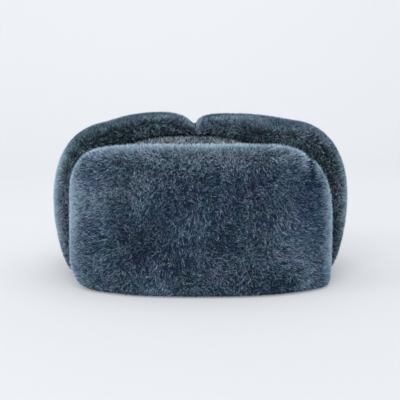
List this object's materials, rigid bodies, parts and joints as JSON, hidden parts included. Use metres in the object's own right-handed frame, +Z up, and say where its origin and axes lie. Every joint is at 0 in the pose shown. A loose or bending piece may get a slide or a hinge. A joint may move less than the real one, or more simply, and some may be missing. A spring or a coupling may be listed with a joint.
{
  "type": "ushanka winter hat",
  "caption": "Short-furred winter hat with a padded crown, its front visor turned up and both ear flaps folded up over the crown.",
  "frame": {"origin": "on the floor, under the middle of the hat's outline seen from above", "axes": "+Z up; the hat's front, with the visor, faces -Y; the wearer's left is at +X"},
  "size_m": [0.2456, 0.2666, 0.1361],
  "materials": {
    "crown_fleece": "short curly grey pile on cloth",
    "visor_fur": "dense sheared blue-grey fur",
    "flap_fur": "dense sheared slate-grey fur",
    "tape": "plain woven tape"
  },
  "bodies": {
    "root": {"crown": "crown_fleece", "visor_flap": "visor_fur", "ear_flap_left": "flap_fur", "ear_flap_right": "flap_fur", "nape_flap": "flap_fur", "tie_tape": "tape"}
  },
  "joints": []
}
